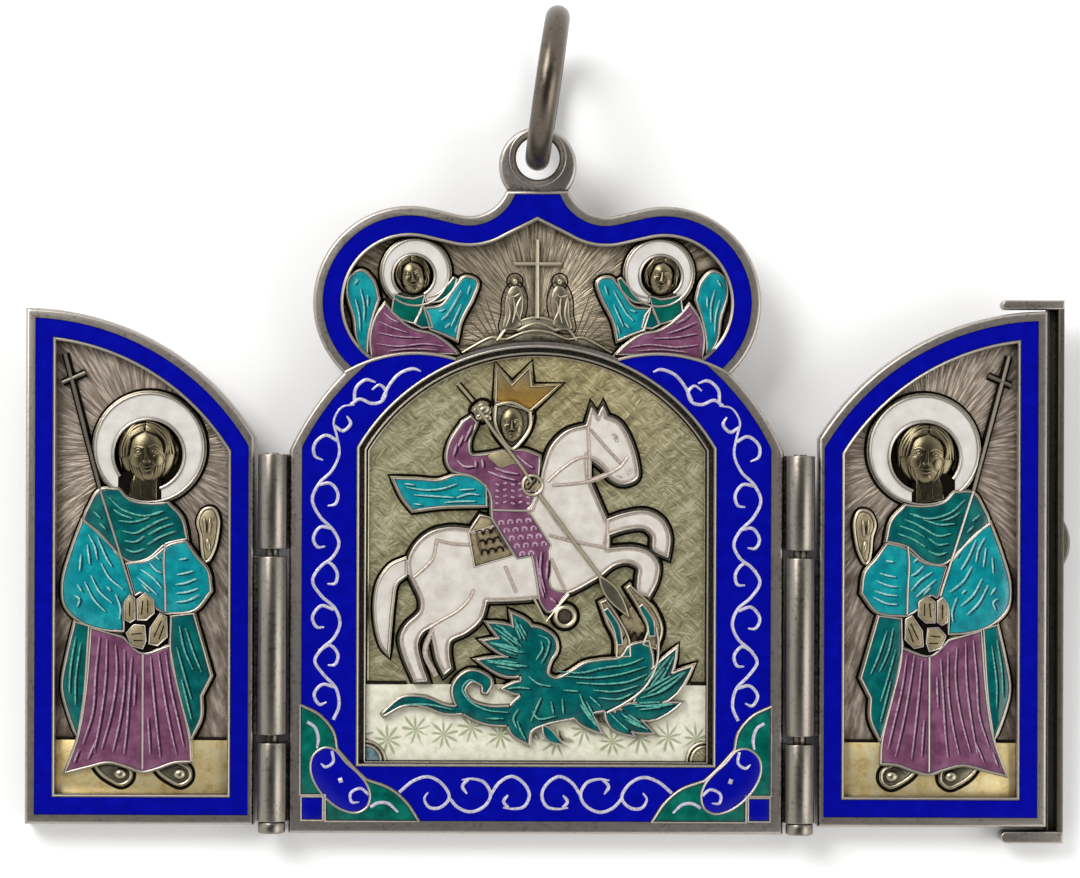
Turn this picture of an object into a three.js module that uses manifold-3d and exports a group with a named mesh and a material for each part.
// A small travelling triptych in silver and enamel, lying open on its back.
// Millimetres. X runs across, Y runs from the foot of the panel to its ring, +Z is the face side.
import * as THREE from 'three'
import { mergeVertices } from 'three/addons/utils/BufferGeometryUtils.js'
import Module from 'manifold-3d'

const wasm = await Module()
wasm.setup()

// Plates: one thickness for all three.
const PLATE_T = 2.3
const EDGE_ROUND = 0.22
const ENAMEL_T = 0.45
const ENAMEL_SINK = 0.06
const FIT = 0.03
const WIRE_W = 0.24
const RECESS_FLOOR = 1.2
const RELIEF_TOP = 1.95

// Centre panel and its arch.
const PANEL_HALF_W = 19.78
const PANEL_RIM = 1.0
const ARCH_CY = 21.7
const ARCH_OVER = 1.92
const ARCH_R = PANEL_HALF_W + ARCH_OVER
const ARCH_RIM = 0.8
const BORDER_W = 5.38
const FRAME_HALF_W = PANEL_HALF_W - BORDER_W
const FRAME_FOOT = 5.36
const FRAME_CY = 22.45
const FRAME_OVER = 2.3
const FRAME_R = FRAME_HALF_W + FRAME_OVER
const STEP_W = 0.5
const STEP_DROP = 0.55
const FOOT_STEP_W = 0.16

// Plaque with the rider, set in the frame.
const PLAQUE_T = 0.45
const GROUND_Y = 11.9
const NOTCH_R = 1.65
const NOTCH_IN = 1.2
const NOTCH_UP = 0.54

// Crown over the arch: two lobes, two dips and a neck.
const LOBE_X = 10.2
const LOBE_Y = 42.5
const LOBE_R = 7.75
const DIP_X = 5.5
const DIP_Y = 52.65
const DIP_R = 3.2
const CROWN_RIM = 0.78
const CROWN_BAND = 1.42
const PEAK_Y = 49.4
const NECK_Y = 51.5
const SPANDREL_OUT = 15.35
const SPANDREL_IN = 6.5
const SPANDREL_SINK = 0.29
const SPANDREL_RISE = 2.63

// Eye on the neck.
const EYE_Y = 53.5
const EYE_R = 3.12
const EYE_HOLE_Y = 54.15
const EYE_HOLE_R = 1.75
const EYE_T = 1.5
const EYE_ROUND = 0.28

// Loose ring through the eye, leaning to one side and swung a little forward.
const RING_R = 5.7
const RING_WIRE_R = 1.0
const RING_LEAN = 8
const RING_SWING = 12

// Hinges: three knuckles each, on a headed pin.
const HINGE_OUT = 1.32
const HINGE_X = PANEL_HALF_W + HINGE_OUT
const HINGE_LIFT = 0.1
const KNUCKLE_R = 1.17
const BORE_R = 0.62
const PIN_R = 0.52
const PIN_HEAD_R = 1.1
const PIN_HEAD_T = 0.9
const KNUCKLE_LOW = [0.96, 7.28]
const KNUCKLE_MID = [7.92, 22.16]
const KNUCKLE_TOP = [22.77, 30.32]
const LEAF_T = 1.0

// Wings: quarter arches whose arc is centred on their outer edge.
const WING_GAP = 1.48
const WING_W = 18.32
const WING_OUT = HINGE_X + WING_GAP + WING_W
const WING_FOOT = 0.65
const WING_ARC_CY = 19.83
const WING_ARC_OVER = 3.16
const WING_R = WING_W + WING_ARC_OVER
const WING_RIM = 0.76
const WING_RIM_IN = 0.45
const WING_BAND = 1.42
const STRIP_TOP = 6.7

// Clasp on the right wing: a channel with two end cheeks and a thumb piece.
const CLASP_GAP = 0.06
const CLASP_W = 1.3
const CLASP_T = 2.0
const CLASP_WALL = 0.5
const CLASP_FLANGE = 0.18
const CLASP_FLANGE_T = 1.3
const CHEEK_W = 5.0
const CHEEK_T = 0.75
const CHEEK_GAP = 0.15
const FOOT_CHEEK_T = 0.95
const FOOT_CHEEK_GAP = 0.35
const THUMB_Y = 23.4
const THUMB_HALF = 1.95
const THUMB_OUT = 0.62
const THUMB_T = 0.9

const rad = THREE.MathUtils.degToRad

// Height of a circle centred on x = 0, at a given x.
const onArc = (cy, r, x) => cy + Math.sqrt(r * r - x * x)

// Three points of the arc that parts the crown from the border, on the right.
const SPANDREL = [
  [SPANDREL_OUT, onArc(ARCH_CY, ARCH_R, SPANDREL_OUT) - SPANDREL_SINK],
  [LOBE_X, onArc(FRAME_CY, FRAME_R, LOBE_X) + SPANDREL_RISE],
  [SPANDREL_IN, onArc(FRAME_CY, FRAME_R, SPANDREL_IN)],
]

// Turns a closed geometry into a solid that can be joined or cut.
function solidOf(geometry) {
  const bare = new THREE.BufferGeometry()
  bare.setAttribute('position', geometry.getAttribute('position').clone())
  if (geometry.index) bare.setIndex(geometry.index.clone())
  const merged = mergeVertices(bare, 1e-5)
  const mesh = new wasm.Mesh({
    numProp: 3,
    vertProperties: new Float32Array(merged.getAttribute('position').array),
    triVerts: new Uint32Array(merged.index.array),
  })
  return new wasm.Manifold(mesh)
}

function geometryOf(solid) {
  const mesh = solid.getMesh()
  const geometry = new THREE.BufferGeometry()
  geometry.setAttribute('position', new THREE.Float32BufferAttribute(mesh.vertProperties, 3))
  geometry.setIndex(new THREE.Uint32BufferAttribute(mesh.triVerts, 1))
  geometry.computeVertexNormals()
  return geometry
}

// An upright prism over a closed outline, with both rims rounded off by `round`.
function prism(outline, z0, z1, round = 0, holes = []) {
  const shape = new THREE.Shape(outline.map(([x, y]) => new THREE.Vector2(x, y)))
  for (const hole of holes) {
    shape.holes.push(new THREE.Path(hole.map(([x, y]) => new THREE.Vector2(x, y))))
  }
  const geometry = new THREE.ExtrudeGeometry(shape, {
    depth: z1 - z0 - 2 * round,
    bevelEnabled: round > 0,
    bevelThickness: round,
    bevelSize: round,
    bevelOffset: -round,
    bevelSegments: 1,
    curveSegments: 1,
  })
  geometry.translate(0, 0, z0 + round)
  return solidOf(geometry)
}

function box(x0, x1, y0, y1, z0, z1) {
  const geometry = new THREE.BoxGeometry(x1 - x0, y1 - y0, z1 - z0)
  geometry.translate((x0 + x1) / 2, (y0 + y1) / 2, (z0 + z1) / 2)
  return solidOf(geometry)
}

// A boss shaped like half an egg: centre, half width, half height, foot and top.
function boss(x, y, rx, ry, z0, z1) {
  const geometry = new THREE.SphereGeometry(1, 10, 4)
  geometry.rotateX(Math.PI / 2)
  geometry.scale(rx, ry, z1 - z0)
  geometry.translate(x, y, z0)
  return solidOf(geometry).intersect(box(x - rx, x + rx, y - ry, y + ry, z0 - 0.1, z1))
}

function union(solids) {
  return solids.reduce((sum, solid) => sum.add(solid))
}

function cut(solid, tools) {
  return tools.reduce((rest, tool) => rest.subtract(tool), solid)
}

// Points along an arc, from one angle to another in degrees.
function arc(cx, cy, r, from, to, n) {
  const points = []
  for (let i = 0; i <= n; i += 1) {
    const a = rad(from + ((to - from) * i) / n)
    points.push([cx + r * Math.cos(a), cy + r * Math.sin(a)])
  }
  return points
}

function circle(cx, cy, r, n) {
  return arc(cx, cy, r, 0, 360 - 360 / n, n - 1)
}

// Points along the arc through three given points.
function arcThrough(a, b, c, n) {
  const d = 2 * (a[0] * (b[1] - c[1]) + b[0] * (c[1] - a[1]) + c[0] * (a[1] - b[1]))
  const sq = (p) => p[0] * p[0] + p[1] * p[1]
  const cx = (sq(a) * (b[1] - c[1]) + sq(b) * (c[1] - a[1]) + sq(c) * (a[1] - b[1])) / d
  const cy = (sq(a) * (c[0] - b[0]) + sq(b) * (a[0] - c[0]) + sq(c) * (b[0] - a[0])) / d
  const r = Math.hypot(a[0] - cx, a[1] - cy)
  const angle = (p) => THREE.MathUtils.radToDeg(Math.atan2(p[1] - cy, p[0] - cx))
  return arc(cx, cy, r, angle(a), angle(c), n)
}

function mirror(points) {
  return points.map(([x, y]) => [-x, y]).reverse()
}

function shift(points, dx, dy) {
  return points.map(([x, y]) => [x + dx, y + dy])
}

// The figures are drawn at their real size and follow the part they lie on when it changes.
// A saint is drawn for a wing 18.32 wide and 41.31 high, from its outer edge and foot.
function onWing(points) {
  const sx = WING_W / 18.32
  const sy = (WING_ARC_CY + WING_R) / 41.31
  return points.map(([x, y]) => [(x + 40.9) * sx - WING_OUT, WING_FOOT + y * sy])
}

// The rider's scene is drawn for a frame 28.8 wide and 33.79 high, its foot at 5.36.
function inFrame(points) {
  const sx = FRAME_HALF_W / 14.4
  const sy = (FRAME_CY + FRAME_R - FRAME_FOOT) / 33.79
  return points.map(([x, y]) => [x * sx, FRAME_FOOT + (y - 5.36) * sy])
}

// An angel is drawn for a lobe of radius 7.75 round (-10.2, 42.5).
function inLobe(points) {
  const scale = LOBE_R / 7.75
  return points.map(([x, y]) => [(x + 10.2) * scale - LOBE_X, LOBE_Y + (y - 42.5) * scale])
}

// A corner is drawn for a border 5.38 wide beside a panel that reaches 19.78 out.
function inCorner(points) {
  const sx = BORDER_W / 5.38
  const sy = FRAME_FOOT / 5.36
  return points.map(([x, y]) => [(x + 19.78) * sx - PANEL_HALF_W, y * sy])
}

function area(points) {
  let sum = 0
  points.forEach(([x, y], i) => {
    const [u, v] = points[(i + 1) % points.length]
    sum += x * v - u * y
  })
  return sum / 2
}

// Drops repeated points and makes the outline run anticlockwise.
function tidy(points) {
  const kept = points.filter(([x, y], i) => {
    const [u, v] = points[(i + points.length - 1) % points.length]
    return Math.hypot(x - u, y - v) > 0.02
  })
  return area(kept) < 0 ? kept.reverse() : kept
}

// Moves every side of a closed outline out by d, or in where d is negative.
function grow(outline, d) {
  const points = tidy(outline)
  const n = points.length
  return points.map(([x, y], i) => {
    const [px, py] = points[(i + n - 1) % n]
    const [qx, qy] = points[(i + 1) % n]
    const a = [x - px, y - py]
    const b = [qx - x, qy - y]
    const la = Math.hypot(...a)
    const lb = Math.hypot(...b)
    const na = [a[1] / la, -a[0] / la]
    const nb = [b[1] / lb, -b[0] / lb]
    const k = Math.max(0.35, 1 + na[0] * nb[0] + na[1] * nb[1])
    return [x + (d * (na[0] + nb[0])) / k, y + (d * (na[1] + nb[1])) / k]
  })
}

// A smooth line through the given points, `per` steps to each span.
function smooth(points, per = 2, closed = false) {
  const curve = new THREE.CatmullRomCurve3(
    points.map(([x, y]) => new THREE.Vector3(x, y, 0)), closed, 'centripetal')
  const spans = closed ? points.length : points.length - 1
  const line = []
  for (let i = 0; i < spans * per + (closed ? 0 : 1); i += 1) {
    const p = curve.getPoint(i / (spans * per))
    line.push([p.x, p.y])
  }
  return line
}

// A closed outline of smooth runs that meet at corners.
function outline(...runs) {
  return tidy(runs.flatMap((run) => (run.length === 3 ? smooth(run) : run)))
}

function blob(points) {
  return tidy(smooth(points, 2, true))
}

// A pointed leaf from its root to its tip, `bend` to the left of that line.
function leaf(root, tip, width, bend) {
  const [dx, dy] = [tip[0] - root[0], tip[1] - root[1]]
  const length = Math.hypot(dx, dy)
  const side = [-dy / length, dx / length]
  const at = (t, w) => {
    const lift = bend * Math.sin(Math.PI * t) + w
    return [root[0] + dx * t + side[0] * lift, root[1] + dy * t + side[1] * lift]
  }
  const left = [0.12, 0.4, 0.7].map((t) => at(t, width * 0.5 * Math.sin(Math.PI * t ** 0.8)))
  const right = [0.7, 0.4, 0.12].map((t) => at(t, -width * 0.5 * Math.sin(Math.PI * t ** 0.8)))
  return tidy([root, ...left, tip, ...right])
}

// A band along a smooth line, with a width at every given point.
function ribbon(points, widths) {
  const per = points.length > 2 ? 2 : 1
  const line = smooth(points, per)
  const left = []
  const right = []
  line.forEach(([x, y], i) => {
    const [px, py] = line[Math.max(0, i - 1)]
    const [qx, qy] = line[Math.min(line.length - 1, i + 1)]
    const l = Math.hypot(qx - px, qy - py)
    const s = i / per
    const k = Math.min(Math.floor(s), widths.length - 2)
    const w = (widths[k] + (widths[k + 1] - widths[k]) * (s - k)) / 2
    left.push([x - ((qy - py) / l) * w, y + ((qx - px) / l) * w])
    right.push([x + ((qy - py) / l) * w, y - ((qx - px) / l) * w])
  })
  return tidy([...left, ...right.reverse()])
}

// The panel without its crown: straight sides under a round arch.
function panelOutline(inset, rimInArch) {
  const half = PANEL_HALF_W - inset
  const r = ARCH_R - rimInArch
  const spring = THREE.MathUtils.radToDeg(Math.acos(half / r))
  const top = arc(0, ARCH_CY, r, spring, 180 - spring, 16)
  return tidy([[-half, inset], [half, inset], ...top])
}

// The frame round the plaque: `inset` from the wire's outer side, less at the foot.
function frameOutline(inset, footInset) {
  const half = FRAME_HALF_W - inset
  const r = FRAME_R - inset
  const spring = THREE.MathUtils.radToDeg(Math.acos(half / r))
  const top = arc(0, FRAME_CY, r, spring, 180 - spring, 16)
  return tidy([[-half, FRAME_FOOT + footInset], [half, FRAME_FOOT + footInset], ...top])
}

// The right half of the crown's edge, from the foot of the lobe to the neck.
function crownSide(inset) {
  const lobe = LOBE_R - inset
  const dip = DIP_R + inset
  const dx = DIP_X - LOBE_X
  const dy = DIP_Y - LOBE_Y
  const between = Math.hypot(dx, dy)
  const toward = THREE.MathUtils.radToDeg(Math.atan2(dy, dx))
  const swing = THREE.MathUtils.radToDeg(Math.acos(Math.min(1, (lobe + dip) / between)))
  const turn = toward - swing
  return { lobe, dip, turn }
}

function crownOutline(inset) {
  const { lobe, dip, turn } = crownSide(inset)
  const neckAngle = 180 + THREE.MathUtils.radToDeg(Math.asin((DIP_Y - NECK_Y) / dip))
  const right = [
    ...arc(LOBE_X, LOBE_Y, lobe, -52, turn, 11),
    ...arc(DIP_X, DIP_Y, dip, 180 + turn, neckAngle, 5),
  ]
  return tidy([...right, ...mirror(right)])
}

// Inside of the crown's blue band, with a point under the neck.
function crownInner(inset) {
  const { lobe, dip, turn } = crownSide(inset)
  const reach = 180 + THREE.MathUtils.radToDeg(Math.acos((DIP_X - 2.6) / dip))
  const right = [
    ...arc(LOBE_X, LOBE_Y, lobe, -58, turn, 10),
    ...arc(DIP_X, DIP_Y, dip, 180 + turn, reach, 3),
  ]
  const drop = (inset - CROWN_RIM - CROWN_BAND) * 1.3
  return tidy([...right, [0, PEAK_Y - drop], ...mirror(right)])
}

// The arc that parts the crown from the panel's border.
function spandrelArc(grown) {
  const line = arcThrough(...SPANDREL, 5)
  return shift(line, 0, grown)
}

// Wing outlines, for the left wing. `inset` is from the edge, `inner` at the hinge side.
function wingOutline(inset, inner) {
  const out = -WING_OUT + inset
  const inn = -HINGE_X - WING_GAP - inner
  const foot = WING_FOOT + inset
  const r = WING_R - inset
  const cy = WING_FOOT + WING_ARC_CY
  const end = THREE.MathUtils.radToDeg(Math.acos((inn + WING_OUT) / r))
  const start = THREE.MathUtils.radToDeg(Math.acos(inset / r))
  return tidy([[out, foot], [inn, foot], ...arc(-WING_OUT, cy, r, end, start, 11)])
}

const meshes = []
function node(name, solid, colour, roughness, metalness) {
  const material = new THREE.MeshStandardMaterial({ color: colour, roughness, metalness })
  const mesh = new THREE.Mesh(geometryOf(solid), material)
  mesh.name = name
  meshes.push(mesh)
  return mesh
}

const SILVER = [0x8f877a, 0.38, 1]
const GILT = [0x9c9468, 0.42, 1]
const BLUE = [0x0309a6, 0.16, 0]
const GREEN = [0x006a56, 0.2, 0]
const TEAL = [0x005f5a, 0.2, 0]
const TURQUOISE = [0x0a98a0, 0.2, 0]
const PURPLE = [0x76406a, 0.24, 0]
const WHITE = [0xe6e2dc, 0.22, 0]

// Adds enamelled cells: each is a raised silver bed with a pocket, and its filling.
function bed(cells, floor, top) {
  return cells.map((cell) => prism(grow(cell, WIRE_W), floor - 0.3, top))
}

function pockets(cells, top) {
  return cells.map((cell) => prism(cell, top - ENAMEL_T, top + 1))
}

function filling(cell, top) {
  return prism(grow(cell, -FIT), top - ENAMEL_T + FIT, top - ENAMEL_SINK)
}

// Saint on a wing, in the left wing's place, feet at the foot of its recess.
const SAINT = {
  halo: circle(-31.05, 30.15, 4.35, 22),
  haloHole: circle(-31.1, 29.6, 2.75, 16),
  neck: [[-33.3, 27.9], [-33.3, 26.3], [-32.4, 25.4], [-30.3, 25.4], [-30.3, 27.4], [-31.0, 28.2]],
  cape: outline([[-36.0, 25.0], [-34.95, 26.7], [-33.5, 26.75]], [[-33.5, 26.75], [-32.6, 25.9],
    [-31.0, 25.6], [-29.6, 25.7]], [[-29.6, 25.7], [-28.5, 24.5], [-28.1, 22.9]],
  [[-28.1, 22.9], [-29.7, 22.5], [-31.2, 21.3], [-32.6, 21.1], [-34.0, 22.3], [-36.2, 24.4]]),
  sleeveOut: outline([[-36.35, 24.2], [-35.2, 23.4], [-33.2, 21.1]], [[-33.2, 21.1], [-32.4, 18.3]],
    [[-32.4, 18.3], [-33.0, 17.8], [-33.1, 15.5]], [[-33.1, 15.5], [-34.6, 15.6], [-36.4, 16.2],
      [-37.7, 17.5], [-37.9, 19.3], [-37.2, 21.9], [-36.35, 24.2]]),
  sleeveIn: outline([[-32.8, 20.8], [-31.0, 21.1], [-29.4, 22.3], [-28.15, 22.6]],
    [[-28.15, 22.6], [-27.3, 21.4]], [[-27.3, 21.4], [-26.4, 20.3], [-26.15, 18.7]],
    [[-26.15, 18.7], [-27.4, 17.2], [-29.7, 16.9]], [[-29.7, 16.9], [-30.6, 17.5], [-31.6, 18.6],
      [-32.1, 18.4]], [[-32.1, 18.4], [-32.8, 20.8]]),
  mantleOut: outline([[-35.9, 15.8], [-36.9, 16.1]], [[-36.9, 16.1], [-37.5, 13.5], [-37.9, 11.0],
    [-37.5, 9.2], [-36.75, 7.1]], [[-36.75, 7.1], [-36.3, 10.0], [-35.9, 15.8]]),
  mantleIn: outline([[-29.2, 16.6], [-27.5, 16.8]], [[-27.5, 16.8], [-26.1, 11.9]],
    [[-26.1, 11.9], [-26.9, 10.3]], [[-26.9, 10.3], [-26.9, 8.6], [-27.6, 7.0]],
    [[-27.6, 7.0], [-28.4, 10.0], [-29.2, 13.5], [-29.2, 16.6]]),
  robe: outline([[-35.6, 15.6], [-33.1, 14.9]], [[-33.1, 14.9], [-31.6, 13.6], [-29.4, 14.2]],
    [[-29.4, 14.2], [-28.9, 11.5], [-27.8, 6.8], [-27.7, 5.1]], [[-27.7, 5.1], [-29.0, 5.0],
      [-30.4, 4.5], [-31.5, 4.25], [-32.6, 4.6], [-34.2, 5.0], [-36.0, 4.6], [-37.6, 4.2]],
    [[-37.6, 4.2], [-36.6, 7.0], [-36.0, 10.5], [-35.6, 15.6]]),
  staff: ribbon([[-37.85, 37.7], [-35.0, 26.9]], [0.3, 0.34]),
  cross: ribbon([[-38.05, 35.3], [-36.3, 36.1]], [0.3, 0.3]),
  hands: blob([[-32.9, 17.9], [-31.9, 18.3], [-30.7, 17.4], [-29.5, 16.7], [-29.2, 15.3],
    [-30.6, 14.1], [-31.6, 13.7], [-33.0, 15.1]]),
  blessing: blob([[-26.9, 24.5], [-26.4, 25.2], [-25.6, 24.6], [-25.6, 23.0], [-26.2, 21.3],
    [-26.9, 22.0]]),
  feet: [leaf([-35.4, 4.7], [-32.6, 3.9], 1.4, -0.1), leaf([-30.4, 4.6], [-27.8, 3.9], 1.4, -0.1)],
}
const SAINT_CELLS = ['cape', 'sleeveOut', 'sleeveIn', 'mantleOut', 'mantleIn', 'robe']
const SAINT_COLOURS = {
  cape: TEAL, sleeveOut: TURQUOISE, sleeveIn: TURQUOISE, mantleOut: TEAL, mantleIn: TEAL, robe: PURPLE,
}
const SAINT_NAMES = {
  cape: 'cape', sleeveOut: 'outer_sleeve', sleeveIn: 'inner_sleeve', mantleOut: 'outer_mantle',
  mantleIn: 'inner_mantle', robe: 'robe',
}

function saintHead(place) {
  const at = (points) => place(points)
  const [[hx, hy]] = at([[-31.3, 29.7]])
  return [
    boss(hx, hy, 1.75, 2.3, RECESS_FLOOR + 0.1, RELIEF_TOP + 0.2),
    prism(at(ribbon([[-31.4, 28.2], [-31.2, 25.9]], [1.5, 2.0])), RECESS_FLOOR - 0.3, RELIEF_TOP - 0.3),
  ]
}

// One wing. `side` is 'left' or 'right'; the right wing mirrors the left.
function wing(side) {
  const place = (points) => {
    const up = onWing(points)
    return side === 'left' ? up : mirror(up)
  }
  const flat = (points) => (side === 'left' ? points : mirror(points))
  const bandOut = flat(wingOutline(WING_RIM, WING_RIM_IN))
  const bandIn = flat(wingOutline(WING_RIM + WING_BAND, WING_RIM_IN + WING_BAND))
  const inset = WING_RIM + WING_BAND + WIRE_W
  const recess = flat(wingOutline(inset, WING_RIM_IN + WING_BAND + WIRE_W))
  const frontFloor = PLATE_T - ENAMEL_T

  const cells = SAINT_CELLS.map((key) => place(SAINT[key]))
  const halo = place(SAINT.halo)
  const haloHole = place(SAINT.haloHole)
  let plate = prism(flat(wingOutline(0, 0)), 0, PLATE_T, EDGE_ROUND)
  plate = plate.subtract(prism(bandOut, frontFloor, PLATE_T + 1, 0, [bandIn.slice().reverse()]))
  plate = plate.subtract(prism(recess, RECESS_FLOOR, PLATE_T + 1))

  const strip = prism(recess, RECESS_FLOOR - 0.2, RECESS_FLOOR + 0.25)
  const below = box(-60, 60, 0, WING_FOOT + STRIP_TOP, 0, PLATE_T)
  const raised = [
    strip.intersect(below),
    ...bed(cells, RECESS_FLOOR, RELIEF_TOP),
    prism(grow(halo, WIRE_W), RECESS_FLOOR - 0.3, RELIEF_TOP - 0.1),
    prism(place(SAINT.staff), RECESS_FLOOR - 0.2, RELIEF_TOP - 0.25),
    prism(place(SAINT.cross), RECESS_FLOOR - 0.2, RELIEF_TOP - 0.25),
    prism(place(SAINT.blessing), RECESS_FLOOR - 0.2, RELIEF_TOP - 0.1, 0.15),
    ...SAINT.feet.map((foot) => prism(place(foot), RECESS_FLOOR - 0.2, RELIEF_TOP - 0.2)),
  ]
  plate = union([plate, ...raised])
  const ring = prism(halo, RELIEF_TOP - 0.1 - ENAMEL_T, PLATE_T + 1, 0)
  const keep = prism(grow(haloHole, WIRE_W), 0, PLATE_T + 2)
  const capeSide = prism(grow(place(SAINT.cape), WIRE_W), 0, PLATE_T + 2)
  const neckSide = prism(grow(place(SAINT.neck), WIRE_W), 0, PLATE_T + 2)
  const haloPocket = cut(ring, [keep, capeSide, neckSide])
  plate = cut(plate, [haloPocket, ...pockets(cells, RELIEF_TOP)])
  plate = plate.subtract(prism(haloHole, RECESS_FLOOR + 0.1, PLATE_T + 1).subtract(capeSide))
  plate = union([plate, ...saintHead(place),
    prism(place(SAINT.hands), RECESS_FLOOR - 0.3, RELIEF_TOP + 0.1, 0.2)])
  plate = plate.intersect(prism(flat(wingOutline(0, 0)), 0, PLATE_T, EDGE_ROUND))

  // Middle knuckle and its web.
  const s = side === 'left' ? -1 : 1
  plate = addKnuckles(plate, s, [KNUCKLE_MID], HINGE_X + WING_GAP + 0.3)
  node(`${side}_wing_plate`, plate, ...SILVER)

  const band = prism(grow(bandOut, -FIT), frontFloor + FIT, PLATE_T - ENAMEL_SINK, 0,
    [grow(bandIn, FIT).reverse()])
  node(`${side}_wing_border_enamel`, band, ...BLUE)
  const haloFill = cut(prism(grow(halo, -FIT), RELIEF_TOP - 0.1 - ENAMEL_T + FIT,
    RELIEF_TOP - 0.1 - ENAMEL_SINK), [
    prism(grow(haloHole, WIRE_W + FIT), 0, PLATE_T + 2),
    prism(grow(place(SAINT.cape), WIRE_W + FIT), 0, PLATE_T + 2),
    prism(grow(place(SAINT.neck), WIRE_W + FIT), 0, PLATE_T + 2)])
  node(`${side}_halo_enamel`, haloFill, ...WHITE)
  SAINT_CELLS.forEach((key, i) => {
    const others = [place(SAINT.hands)]
    const fill = cut(filling(cells[i], RELIEF_TOP),
      others.map((other) => prism(grow(other, FIT), 0, PLATE_T + 1)))
    node(`${side}_${SAINT_NAMES[key]}_enamel`, fill, ...SAINT_COLOURS[key])
  })
}

// Knuckles of one leaf, with the web that ties them to the plate, and the bore.
function addKnuckles(plate, s, ranges, edge) {
  const z = PLATE_T + HINGE_LIFT
  let result = plate
  for (const [y0, y1] of ranges) {
    const barrel = new THREE.CylinderGeometry(KNUCKLE_R, KNUCKLE_R, y1 - y0, 14)
    barrel.translate(s * HINGE_X, (y0 + y1) / 2, z)
    const x0 = Math.min(s * HINGE_X, s * edge)
    const x1 = Math.max(s * HINGE_X, s * edge)
    const web = box(x0, x1, y0, y1, PLATE_T - HINGE_LIFT - LEAF_T, PLATE_T - EDGE_ROUND)
    result = result.add(solidOf(barrel)).add(web)
    const bore = new THREE.CylinderGeometry(BORE_R, BORE_R, y1 - y0 + 2, 12)
    bore.translate(s * HINGE_X, (y0 + y1) / 2, z)
    result = result.subtract(solidOf(bore))
  }
  return result
}

function pin(side) {
  const s = side === 'left' ? -1 : 1
  const z = PLATE_T + HINGE_LIFT
  const top = KNUCKLE_TOP[1] + 0.1
  const foot = KNUCKLE_LOW[0] - FIT
  const shaft = new THREE.CylinderGeometry(PIN_R, PIN_R, top - foot + 0.2, 12)
  shaft.translate(s * HINGE_X, (top + foot - 0.2) / 2, z)
  const head = new THREE.CylinderGeometry(PIN_HEAD_R, PIN_HEAD_R * 0.85, PIN_HEAD_T, 16)
  head.translate(s * HINGE_X, foot - PIN_HEAD_T / 2, z)
  node(`${side}_hinge_pin`, solidOf(shaft).add(solidOf(head)), ...SILVER)
}

// Angel in the left lobe of the crown.
const ANGEL = {
  halo: circle(-9.75, 44.9, 2.65, 18),
  haloHole: circle(-9.9, 44.65, 1.45, 12),
  robe: outline([[-13.2, 38.1], [-13.3, 39.8], [-12.9, 41.3], [-12.2, 42.3]],
    [[-12.2, 42.3], [-11.2, 41.2], [-9.9, 40.3], [-8.3, 39.9], [-6.9, 38.9], [-6.5, 38.45]],
    [[-6.5, 38.45], [-8.2, 38.45], [-10.2, 38.5], [-13.2, 38.1]]),
  wingOut: outline([[-13.7, 38.3], [-14.4, 39.6], [-14.6, 41.3], [-15.2, 43.3], [-15.0, 44.5],
    [-14.1, 45.0], [-13.2, 44.2], [-12.8, 42.8]], [[-12.8, 42.8], [-13.3, 41.2], [-13.6, 39.8],
    [-13.7, 38.3]]),
  wingIn: outline([[-9.0, 42.0], [-7.7, 42.2], [-6.6, 43.6], [-5.8, 44.5], [-4.9, 44.2],
    [-5.2, 43.0], [-6.2, 41.0], [-6.5, 39.6]], [[-6.5, 39.6], [-7.4, 40.0], [-8.5, 40.4]],
  [[-8.5, 40.4], [-9.0, 42.0]]),
}
for (const key of Object.keys(ANGEL)) ANGEL[key] = inLobe(ANGEL[key])
const ANGEL_CELLS = ['robe', 'wingOut', 'wingIn']
const ANGEL_COLOURS = { robe: PURPLE, wingOut: TURQUOISE, wingIn: TURQUOISE }
const ANGEL_NAMES = { robe: 'robe', wingOut: 'outer_wing', wingIn: 'inner_wing' }

// Corner of the panel's border: a fan with a small square in its corner.
const CORNER_FAN = inCorner(outline([[-18.78, 10.1], [-17.4, 9.4], [-16.3, 8.1], [-16.0, 6.7]],
  [[-16.0, 6.7], [-14.75, 5.3], [-13.6, 4.2]], [[-13.6, 4.2], [-11.7, 3.5], [-10.4, 2.4], [-9.5, 1.05]],
  [[-9.5, 1.05], [-16.75, 1.05]], [[-16.75, 1.05], [-16.75, 3.15]], [[-16.75, 3.15], [-18.78, 3.15]],
  [[-18.78, 3.15], [-18.78, 10.1]]))
const CORNER_SQUARE = inCorner([[-18.7, 1.1], [-17.1, 1.1], [-17.1, 2.85], [-18.7, 2.85]])

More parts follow.
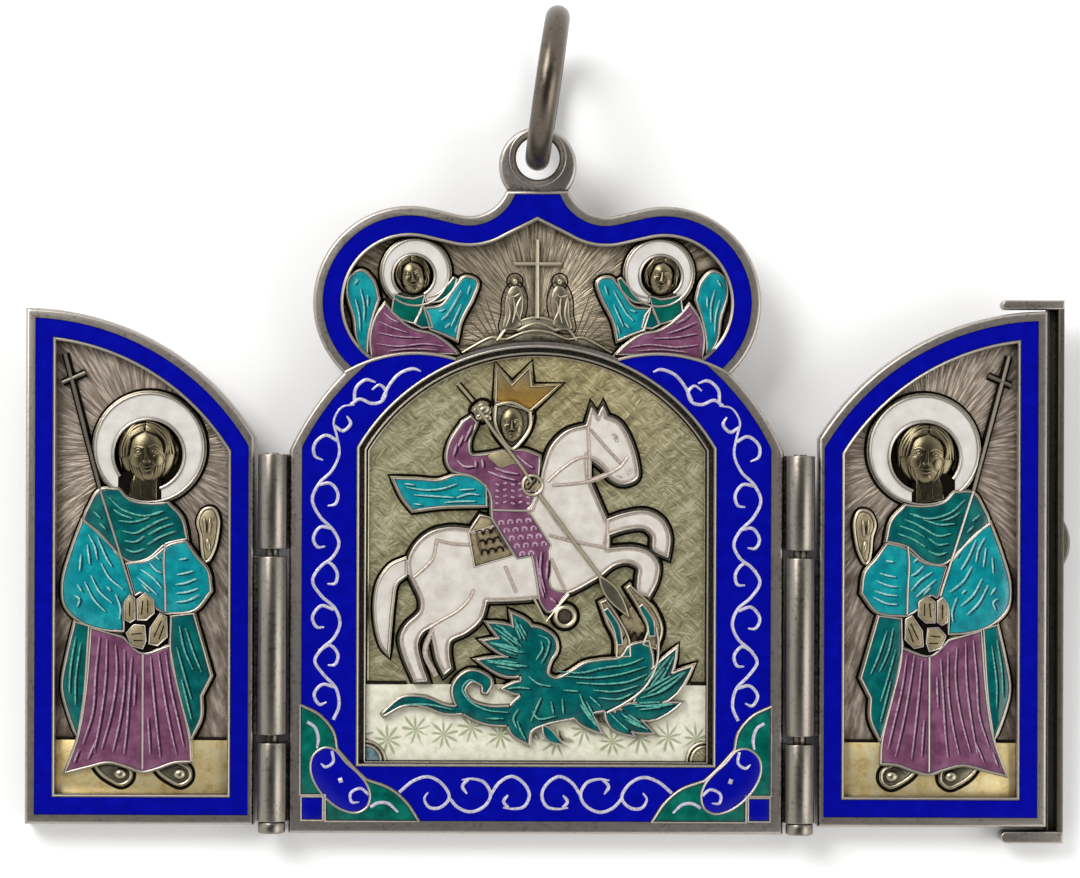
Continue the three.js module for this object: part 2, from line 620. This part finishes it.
// The rider's plaque, in the panel's own place.
const HORSE = inFrame(outline(
  [[-5.0, 24.3], [-7.0, 24.45], [-8.6, 24.0], [-9.7, 23.0], [-10.25, 21.8], [-10.15, 20.7]],
  [[-10.15, 20.7], [-9.6, 19.6], [-9.2, 18.6], [-9.3, 17.7], [-10.4, 16.6], [-10.85, 15.6],
    [-10.6, 14.3], [-9.7, 12.15]],
  [[-9.7, 12.15], [-8.75, 12.2]], [[-8.75, 12.2], [-9.3, 13.8], [-9.55, 15.2], [-9.1, 16.1], [-8.5, 16.5]],
  [[-8.5, 16.5], [-8.2, 15.2], [-7.9, 13.9], [-7.35, 12.75]], [[-7.35, 12.75], [-6.85, 13.2]],
  [[-6.85, 13.2], [-7.05, 14.4], [-6.9, 15.4], [-5.6, 16.1], [-4.5, 17.1], [-4.0, 18.6]],
  [[-4.0, 18.6], [-1.5, 18.7], [0.6, 18.9], [2.6, 19.3], [5.05, 20.6]],
  [[5.05, 20.6], [6.3, 21.55], [7.4, 21.75], [8.2, 21.3], [8.15, 20.4], [8.2, 19.4], [9.0, 19.0]],
  [[9.0, 19.0], [9.6, 20.2], [9.75, 21.5], [9.2, 22.4], [8.0, 22.9], [5.7, 22.8]],
  [[5.7, 22.8], [5.75, 23.95]],
  [[5.75, 23.95], [7.2, 24.4], [8.6, 24.5], [9.3, 23.9], [9.4, 22.8], [10.5, 22.2]],
  [[10.5, 22.2], [10.65, 23.8], [10.1, 25.1], [8.9, 25.8], [7.2, 25.65], [5.6, 25.1]],
  [[5.6, 25.1], [4.9, 26.7], [4.15, 28.4]],
  [[4.15, 28.4], [4.1, 30.2]], [[4.1, 30.2], [5.3, 29.3], [6.0, 28.4], [7.0, 28.05], [8.0, 28.5],
    [8.0, 29.6], [7.4, 31.6], [6.5, 33.0], [5.6, 33.4]],
  [[5.6, 33.4], [5.3, 34.2]], [[5.3, 34.2], [4.9, 33.4]], [[4.9, 33.4], [4.4, 34.1]],
  [[4.4, 34.1], [4.0, 32.7]], [[4.0, 32.7], [2.4, 32.2], [1.2, 31.0], [0.6, 29.4], [0.2, 27.6],
    [-0.4, 26.0]], [[-0.4, 26.0], [-5.0, 24.3]]))
const TAIL = inFrame(outline([[-10.5, 21.9], [-11.6, 21.4], [-12.5, 20.2], [-12.85, 18.6], [-12.75, 16.6],
  [-12.3, 15.0], [-11.9, 14.5]], [[-11.9, 14.5], [-11.8, 16.0], [-11.6, 18.4], [-11.3, 20.0],
  [-10.5, 20.7]], [[-10.5, 20.7], [-10.5, 21.9]]))
const COAT = inFrame(outline([[-5.3, 33.3], [-4.9, 32.9]], [[-4.9, 32.9], [-5.5, 31.3], [-5.3, 30.3],
  [-4.0, 30.3],
  [-2.4, 30.6], [-0.9, 30.6], [0.15, 30.2]], [[0.15, 30.2], [0.1, 29.0], [-0.4, 26.4], [-0.8, 25.9],
  [-0.5, 25.5]], [[-0.5, 25.5], [1.1, 23.1]], [[1.1, 23.1], [0.95, 22.7]], [[0.95, 22.7], [1.2, 19.6],
  [2.4, 19.3]], [[2.4, 19.3], [1.1, 17.8], [0.4, 18.5], [0.1, 20.2], [-0.3, 22.3]],
[[-0.3, 22.3], [-1.5, 22.1]], [[-1.5, 22.1], [-3.5, 25.2]], [[-3.5, 25.2], [-3.75, 27.4],
  [-5.0, 28.6], [-6.7, 29.1], [-7.15, 29.9], [-6.9, 31.3], [-5.9, 32.9]], [[-5.9, 32.9], [-5.3, 33.3]]))
const CLOAK = inFrame(outline([[-4.1, 27.8], [-5.2, 28.5], [-6.4, 28.65], [-7.9, 28.2], [-9.6, 28.3],
  [-11.4, 28.35]], [[-11.4, 28.35], [-10.7, 26.9], [-9.9, 25.9]], [[-9.9, 25.9], [-7.6, 26.2],
  [-4.1, 26.3]], [[-4.1, 26.3], [-4.1, 27.8]]))
const SADDLE = inFrame(outline([[-4.5, 25.4], [-3.6, 25.2]], [[-3.6, 25.2], [-1.9, 22.3]],
  [[-1.9, 22.3], [-4.9, 21.4]], [[-4.9, 21.4], [-5.4, 24.1]], [[-5.4, 24.1], [-4.5, 25.4]]))
const DRAGON = [
  outline([[9.0, 15.4], [7.5, 15.0], [6.8, 14.1], [5.2, 13.85], [3.9, 13.6], [2.6, 12.8], [1.6, 12.4],
    [0.9, 12.8], [1.1, 13.8], [1.6, 14.7], [1.4, 15.7], [0.4, 16.4], [-1.0, 16.6]],
  [[-1.0, 16.6], [-1.6, 14.4], [-1.2, 12.6], [-1.2, 11.0]], [[-1.2, 11.0], [-2.0, 10.2], [-2.3, 9.2],
    [-1.9, 8.0], [-0.6, 7.2]], [[-0.6, 7.2], [-0.4, 8.2], [0.8, 8.8], [3.1, 9.3]],
  [[3.1, 9.3], [4.9, 9.8], [6.4, 10.1], [8.2, 11.3], [9.3, 13.4], [9.0, 15.4]]),
  leaf([-0.6, 14.9], [-1.95, 17.6], 1.4, -0.25),
  leaf([-0.7, 14.6], [-3.8, 16.8], 1.5, -0.2),
  leaf([-0.4, 14.2], [-4.15, 15.4], 1.4, -0.1),
  leaf([-0.2, 13.2], [-4.6, 13.85], 1.5, 0.15),
  leaf([0.0, 11.7], [-2.6, 11.6], 1.0, 0),
  leaf([3.2, 11.5], [5.2, 8.1], 1.4, -0.5),
  leaf([5.6, 9.9], [7.8, 7.9], 1.1, -0.15),
  leaf([6.4, 9.9], [9.4, 8.1], 1.2, -0.2),
  leaf([6.8, 10.1], [11.6, 10.5], 1.4, -0.5),
  leaf([7.9, 10.6], [12.5, 13.4], 1.8, -0.4),
  leaf([8.0, 10.9], [11.2, 14.8], 1.6, -0.35),
  ribbon([[-1.9, 9.4], [-4.0, 9.5], [-5.7, 10.3], [-6.2, 11.6], [-5.2, 12.6], [-4.0, 12.1],
    [-4.1, 11.3]], [1.5, 1.35, 1.1, 0.9, 0.8, 0.8, 0.3]),
  ribbon([[-5.6, 9.9], [-7.2, 9.9], [-9.0, 10.55], [-10.6, 10.55], [-12.2, 9.5]],
    [0.5, 0.6, 0.65, 0.6, 0.12]),
].map(inFrame)
const RIDER_METAL = [
  outline([[-3.3, 34.6], [-3.2, 37.3]], [[-3.2, 37.3], [-2.0, 35.9]], [[-2.0, 35.9], [-0.6, 37.3]],
    [[-0.6, 37.3], [-0.45, 35.8]], [[-0.45, 35.8], [1.7, 35.9]], [[1.7, 35.9], [-0.5, 33.9]],
    [[-0.5, 33.9], [-3.3, 34.6]]),
  blob([[-3.4, 34.3], [-2.0, 34.4], [-0.5, 33.8], [-0.7, 32.4], [-2.0, 30.9], [-3.4, 32.4]]),
  blob([[-5.1, 33.9], [-4.3, 34.5], [-3.6, 33.8], [-4.6, 33.1]]),
  ribbon([[-6.1, 36.0], [-4.7, 33.9]], [0.35, 0.4]),
  ribbon([[5.0, 20.7], [7.4, 17.6]], [0.35, 0.6]),
  circle(-0.35, 27.9, 0.85, 12),
  circle(2.3, 17.4, 0.85, 12),
].map(inFrame)
const DRAGON_METAL = [
  ribbon([[6.9, 14.4], [6.5, 16.2], [5.4, 18.3]], [0.5, 0.6, 0.5]),
  ribbon([[9.2, 15.2], [9.3, 16.7], [8.5, 18.3], [7.4, 19.5]], [1.3, 1.1, 0.9, 0.4]),
].map(inFrame)
const HILL_CROSS = { halfW: 1.9, y0: 41.4, y1: 47.7, armY: 45.65, w: 0.36 }

// Centre panel with its crown, eye and outer knuckles.
function centrePlate() {
  const frontFloor = PLATE_T - ENAMEL_T
  const edge = [
    prism(panelOutline(0, 0), 0, PLATE_T, EDGE_ROUND),
    prism(crownOutline(0), 0, PLATE_T, EDGE_ROUND),
  ]
  let plate = union(edge)

  // Eye: a thick loop with a low hole.
  const loop = prism(circle(0, EYE_Y, EYE_R, 24), 0, EYE_T, EYE_ROUND, [circle(0, EYE_HOLE_Y,
    EYE_HOLE_R, 16).reverse()])
  plate = plate.add(loop.translate([0, 0, (PLATE_T - EYE_T) / 2]))
  plate = plate.subtract(prism(circle(0, EYE_HOLE_Y, EYE_HOLE_R, 16), -1, PLATE_T + 1))

  // Channels for the blue enamel, corner motifs and the crown's band.
  const field = frameOutline(0, 0)
  for (const area of borderAreas(0)) plate = plate.subtract(prism(area, frontFloor, PLATE_T + 1)
    .subtract(prism(field, 0, PLATE_T + 2)).subtract(motifWalls()))
  for (const area of motifs(0)) plate = plate.subtract(prism(area, frontFloor, PLATE_T + 1))
  plate = plate.subtract(bandSolid(0, frontFloor, PLATE_T + 1))

  // Crown's recess with the angels, the cross on its hill and the two mourners.
  plate = plate.subtract(crownFloor(0, RECESS_FLOOR, PLATE_T + 1))
  plate = plate.add(crownRelief())
  for (const s of [-1, 1]) {
    const place = (points) => (s < 0 ? points : mirror(points))
    const cells = ANGEL_CELLS.map((key) => place(ANGEL[key]))
    plate = cut(plate, pockets(cells, RELIEF_TOP))
    plate = plate.subtract(haloSolid(place, 0, RELIEF_TOP - ENAMEL_T, PLATE_T + 1))
    plate = plate.subtract(prism(place(ANGEL.haloHole), RECESS_FLOOR + 0.1, PLATE_T + 1))
    const [[hx, hy]] = place(inLobe([[-9.95, 44.3]]))
    plate = plate.add(boss(hx, hy, 1.0, 1.45, RECESS_FLOOR, RELIEF_TOP + 0.15))
  }

  // Stepped opening for the plaque.
  const steps = [
    [WIRE_W, WIRE_W, PLATE_T - STEP_DROP],
    [WIRE_W + STEP_W, WIRE_W + FOOT_STEP_W, PLAQUE_FLOOR],
  ]
  for (const [side, foot, floor] of steps) {
    plate = plate.subtract(prism(frameOutline(side, foot), floor, PLATE_T + 1))
  }
  for (const s of [-1, 1]) plate = addKnuckles(plate, s, [KNUCKLE_LOW, KNUCKLE_TOP], PANEL_HALF_W - 0.4)
  node('centre_plate', plate, ...SILVER)
}

const PLAQUE_FLOOR = RECESS_FLOOR - PLAQUE_T

// The blue border's outer side, below the crown; `grown` widens it.
function borderAreas(grown) {
  const body = panelOutline(PANEL_RIM - grown, ARCH_RIM - grown)
  const lid = [...spandrelArc(grown), ...mirror(spandrelArc(grown)), [-30, 30], [-30, -5], [30, -5],
    [30, 30]]
  const clipped = prism(body, 0, 1).intersect(prism(tidy(lid), -1, 2))
  return [outlineOf(clipped)]
}

// The outline of a flat-sided solid's foot, walked along its edges.
function outlineOf(solid) {
  const mesh = solid.getMesh()
  const at = (i) => [mesh.vertProperties[3 * i], mesh.vertProperties[3 * i + 1],
    mesh.vertProperties[3 * i + 2]]
  const low = (i) => at(i)[2] < 1e-4
  const next = new Map()
  for (let t = 0; t < mesh.triVerts.length; t += 3) {
    const tri = [0, 1, 2].map((k) => mesh.triVerts[t + k])
    if (!tri.every(low)) continue
    tri.forEach((v, k) => next.set(`${v},${tri[(k + 1) % 3]}`, [v, tri[(k + 1) % 3]]))
  }
  const rim = new Map()
  for (const [a, b] of next.values()) if (!next.has(`${b},${a}`)) rim.set(a, b)
  const start = rim.keys().next().value
  const points = []
  for (let v = start, first = true; first || v !== start; v = rim.get(v), first = false) {
    points.push(at(v).slice(0, 2))
  }
  return tidy(points)
}

function motifs(grown) {
  return [CORNER_FAN, mirror(CORNER_FAN), CORNER_SQUARE, mirror(CORNER_SQUARE)]
    .map((area) => grow(area, grown))
}

function motifWalls() {
  return union(motifs(WIRE_W).map((area) => prism(area, 0, PLATE_T + 2)))
}

// The blue band of the crown, between its rim and the wire round the recess.
function bandSolid(play, z0, z1) {
  const outer = prism(crownOutline(CROWN_RIM + play), z0, z1)
  const inner = prism(crownInner(CROWN_RIM + CROWN_BAND - play), z0 - 1, z1 + 1)
  const below = prism(belowCrown(WIRE_W + play), z0 - 1, z1 + 1)
  const neck = box(-5, 5, NECK_Y - 0.3 - play, NECK_Y + 20, z0 - 1, z1 + 1)
  return cut(outer, [inner, below, neck])
}

// Everything below the crown's foot: the spandrels and the frame's arch.
function belowCrown(grown) {
  const arch = arc(0, FRAME_CY, FRAME_R + grown, 60, 120, 8).reverse()
  const right = spandrelArc(grown).reverse()
  const top = arch.filter((p) => Math.abs(p[0]) < SPANDREL[2][0] - 0.1)
  return tidy([[-30, 20], ...mirror(right), ...top, ...right, [30, 20]])
}

function crownFloor(play, z0, z1) {
  const inner = prism(crownInner(CROWN_RIM + CROWN_BAND + WIRE_W + play), z0, z1)
  return inner.subtract(prism(belowCrown(WIRE_W + play), z0 - 1, z1 + 1))
}

function haloSolid(place, play, z0, z1) {
  const ring = prism(grow(place(ANGEL.halo), -play), z0, z1)
  const hole = prism(grow(place(ANGEL.haloHole), WIRE_W + play), z0 - 1, z1 + 1)
  const others = ['robe', 'wingOut', 'wingIn']
    .map((key) => prism(grow(place(ANGEL[key]), WIRE_W + play), z0 - 1, z1 + 1))
  const chest = prism(place(ANGEL_CHEST), z0 - 1, z1 + 1)
  return cut(ring, [hole, chest, ...others])
}

const ANGEL_CHEST = inLobe([[-12.4, 40.0], [-8.6, 40.0], [-8.9, 43.1], [-10.0, 43.3], [-11.0, 43.3],
  [-12.2, 42.8]])

function crownRelief() {
  const floor = RECESS_FLOOR - 0.3
  const low = RELIEF_TOP - 0.45
  const parts = []
  for (const s of [-1, 1]) {
    const place = (points) => (s < 0 ? points : mirror(points))
    const cells = ANGEL_CELLS.map((key) => place(ANGEL[key]))
    parts.push(...bed(cells, RECESS_FLOOR, RELIEF_TOP))
    parts.push(prism(grow(place(ANGEL.halo), WIRE_W), floor, RELIEF_TOP))
    parts.push(prism(tidy(place(ANGEL_CHEST)), floor, RELIEF_TOP - 0.2))
    parts.push(prism(place(blob([[-1.55, 44.3], [-1.2, 43.0], [-1.2, 41.2], [-2.6, 40.4],
      [-2.6, 42.4], [-2.1, 44.0]])), floor, low, 0.2))
  }
  const cross = HILL_CROSS
  parts.push(box(-cross.w / 2, cross.w / 2, cross.y0 - 0.4, cross.y1, floor, low))
  parts.push(box(-cross.halfW, cross.halfW, cross.armY - cross.w / 2, cross.armY + cross.w / 2,
    floor, low))
  const hill = outline([[-6.2, 38.3], [-4.6, 39.3], [-3.0, 40.3], [-1.8, 40.9], [0, 41.35], [1.8, 40.9],
    [3.0, 40.3], [4.6, 39.3], [6.2, 38.3]], [[6.2, 38.3], [0, 37.6], [-6.2, 38.3]])
  parts.push(prism(hill, floor, low))
  return union(parts).intersect(crownFloor(-0.05, 0, PLATE_T))
}

// The plaque's silver: the sheet, the ground, the raised beds and the plain metal figures.
function scene() {
  const edge = frameOutline(WIRE_W + STEP_W + FIT, WIRE_W + FOOT_STEP_W + FIT)
  const top = RELIEF_TOP
  const beds = [HORSE, TAIL, COAT, CLOAK, ...DRAGON]
  const clip = prism(edge, 0, PLATE_T - ENAMEL_SINK)
  let plaque = union([
    prism(edge, PLAQUE_FLOOR + FIT, RECESS_FLOOR),
    ...beds.map((cell) => prism(grow(cell, WIRE_W), RECESS_FLOOR - 0.2, top)),
    prism(grow(SADDLE, 0.1), RECESS_FLOOR - 0.2, top - 0.15),
    ...RIDER_METAL.map((area) => prism(area, RECESS_FLOOR - 0.2, top)),
    ...DRAGON_METAL.map((area) => prism(area, RECESS_FLOOR - 0.2, top - 0.1)),
    boss(-2.0, 32.7, 1.1, 1.6, RECESS_FLOOR, top + 0.12),
  ]).intersect(clip)
  const metal = [...RIDER_METAL, SADDLE].map((area) => prism(grow(area, FIT), 0, PLATE_T))
  const keepOut = [prism(grow(COAT, WIRE_W), 0, PLATE_T), ...metal]
  const dragonBed = union(DRAGON.map((cell) => prism(grow(cell, WIRE_W), 0, PLATE_T)))
  const cells = {
    horse: (play) => cut(prism(grow(HORSE, -play), top - ENAMEL_T + play, play ? top - ENAMEL_SINK : 3),
      [...keepOut, dragonBed]),
    tail: (play) => prism(grow(TAIL, -play), top - ENAMEL_T + play, play ? top - ENAMEL_SINK : 3),
    cloak: (play) => prism(grow(CLOAK, -play), top - ENAMEL_T + play, play ? top - ENAMEL_SINK : 3),
    coat: (play) => cut(prism(grow(COAT, -play), top - ENAMEL_T + play, play ? top - ENAMEL_SINK : 3),
      [prism(grow(RIDER_METAL[1], FIT), 0, 3), prism(grow(RIDER_METAL[5], FIT), 0, 3)]),
    dragon: (play) => cut(union(DRAGON.map((cell) => prism(grow(cell, -play), top - ENAMEL_T + play,
      play ? top - ENAMEL_SINK : 3))), DRAGON_METAL.map((area) => prism(grow(area, FIT), 0, 3))),
  }
  const ground = (play) => {
    const area = grow(edge, -0.1 - play)
    const low = box(-30, 30, 0, GROUND_Y - play, RECESS_FLOOR - 0.2 + play, play ? RECESS_FLOOR + 0.1 : 3)
    return cut(prism(area, 0, 3).intersect(low), [
      ...[HORSE, TAIL, ...DRAGON].map((cell) => prism(grow(cell, WIRE_W + play), 0, 3)),
      ...[-1, 1].map((s) => prism(circle(s * (FRAME_HALF_W - NOTCH_IN),
        FRAME_FOOT + NOTCH_UP, NOTCH_R + play, 16), 0, 3))])
  }
  for (const [key, cell] of Object.entries(cells)) {
    for (const part of biggest(cell(0), key === 'horse' ? 2 : 1)) plaque = plaque.subtract(part)
  }
  plaque = plaque.subtract(ground(0).intersect(prism(edge, RECESS_FLOOR - 0.2, RECESS_FLOOR + 0.01)))
  node('scene_plaque', plaque, ...GILT)
  const [fore, hind] = biggest(cells.horse(FIT), 2).sort((a, b) => b.boundingBox().max[0]
    - a.boundingBox().max[0])
  node('horse_fore_enamel', fore, ...WHITE)
  node('horse_hind_enamel', hind, ...WHITE)
  node('tail_enamel', cells.tail(FIT), ...WHITE)
  node('cloak_enamel', cells.cloak(FIT), ...TURQUOISE)
  node('coat_enamel', largest(cells.coat(FIT)), ...PURPLE)
  node('dragon_enamel', largest(cells.dragon(FIT)), ...TEAL)
  node('ground_enamel', largest(ground(FIT)), 0xd8d4bc, 0.3, 0)
}

// The n largest of a solid's separate parts.
function biggest(solid, n) {
  return solid.decompose().sort((a, b) => b.volume() - a.volume()).slice(0, n)
}

function largest(solid) {
  return biggest(solid, 1)[0]
}

function centreEnamels() {
  const z0 = PLATE_T - ENAMEL_T + FIT
  const z1 = PLATE_T - ENAMEL_SINK
  const walls = union(motifs(WIRE_W + FIT).map((area) => prism(area, 0, PLATE_T + 2)))
  const border = prism(grow(borderAreas(0)[0], -FIT), z0, z1)
    .subtract(prism(frameOutline(-FIT, -FIT), 0, 3)).subtract(walls)
  const parts = border.decompose().filter((part) => part.volume() > 0.5)
  const middle = (part) => {
    const b = part.boundingBox()
    return (b.min[0] + b.max[0]) / 2
  }
  parts.sort((a, b) => middle(a) - middle(b))
  const names = parts.length === 3 ? ['border_left', 'border_foot', 'border_right'] : ['border']
  parts.slice(0, names.length).forEach((part, i) => node(`${names[i]}_enamel`, part, ...BLUE))
  const [fanL, fanR, squareL, squareR] = motifs(-FIT)
  node('left_corner_fan_enamel', prism(fanL, z0, z1), ...GREEN)
  node('right_corner_fan_enamel', prism(fanR, z0, z1), ...GREEN)
  node('left_corner_square_enamel', prism(squareL, z0, z1), ...BLUE)
  node('right_corner_square_enamel', prism(squareR, z0, z1), ...BLUE)
  node('crown_band_enamel', bandSolid(FIT, z0, z1), ...BLUE)
  for (const side of ['left', 'right']) {
    const place = (points) => (side === 'left' ? points : mirror(points))
    node(`${side}_angel_halo_enamel`, largest(haloSolid(place, FIT, RELIEF_TOP - ENAMEL_T + FIT,
      RELIEF_TOP - ENAMEL_SINK)), ...WHITE)
    for (const key of ANGEL_CELLS) {
      node(`${side}_angel_${ANGEL_NAMES[key]}_enamel`, filling(place(ANGEL[key]), RELIEF_TOP),
        ...ANGEL_COLOURS[key])
    }
  }
}

// Clasp: channel along the right wing's outer edge.
function clasp() {
  const x0 = WING_OUT + CLASP_GAP
  const x1 = x0 + CLASP_W
  const foot = WING_FOOT - FOOT_CHEEK_GAP
  const top = WING_FOOT + WING_ARC_CY + WING_R + CHEEK_GAP
  const parts = [
    box(x0, x1, foot - FOOT_CHEEK_T, top + CHEEK_T, 0.1, CLASP_WALL),
    box(x1 - CLASP_WALL, x1, foot - FOOT_CHEEK_T, top + CHEEK_T, 0.1, CLASP_T),
    box(x0, x0 + CLASP_FLANGE, foot, top, 0.1, CLASP_FLANGE_T),
    box(x1 - CHEEK_W, x1, foot - FOOT_CHEEK_T, foot, 0.1, CLASP_T),
    box(x1 - CHEEK_W, x1, top, top + CHEEK_T, 0.1, CLASP_T),
  ]
  const r = (THUMB_HALF * THUMB_HALF + THUMB_OUT * THUMB_OUT) / (2 * THUMB_OUT)
  const half = THREE.MathUtils.radToDeg(Math.asin(THUMB_HALF / r))
  const lip = arc(x1 + THUMB_OUT - r, THUMB_Y, r, -half, half, 12)
  parts.push(prism(tidy([[x1 - 0.3, THUMB_Y - THUMB_HALF], ...lip, [x1 - 0.3, THUMB_Y + THUMB_HALF]]),
    0.2, 0.2 + THUMB_T))
  node('clasp', union(parts), ...SILVER)
}

// Ring: a round wire in an upright plane, through the eye's hole.
function ring() {
  const geometry = new THREE.TorusGeometry(RING_R, RING_WIRE_R, 10, 26)
  geometry.rotateY(Math.PI / 2)
  geometry.translate(0, RING_R, 0)
  geometry.rotateX(rad(RING_SWING))
  geometry.rotateZ(-rad(RING_LEAN))
  geometry.translate(0, EYE_HOLE_Y, PLATE_T / 2)
  node('suspension_ring', solidOf(geometry), ...SILVER)
}

centrePlate()
scene()
centreEnamels()
wing('left')
wing('right')
pin('left')
pin('right')
clasp()
ring()

// The origin lies under the middle of the whole, level with its lowest point, the ring's.
const group = new THREE.Group()
const bounds = new THREE.Box3()
for (const mesh of meshes) bounds.expandByObject(mesh)
const middle = bounds.getCenter(new THREE.Vector3())
for (const mesh of meshes) {
  mesh.position.set(-middle.x, -middle.y, -bounds.min.z)
  group.add(mesh)
}
export default group
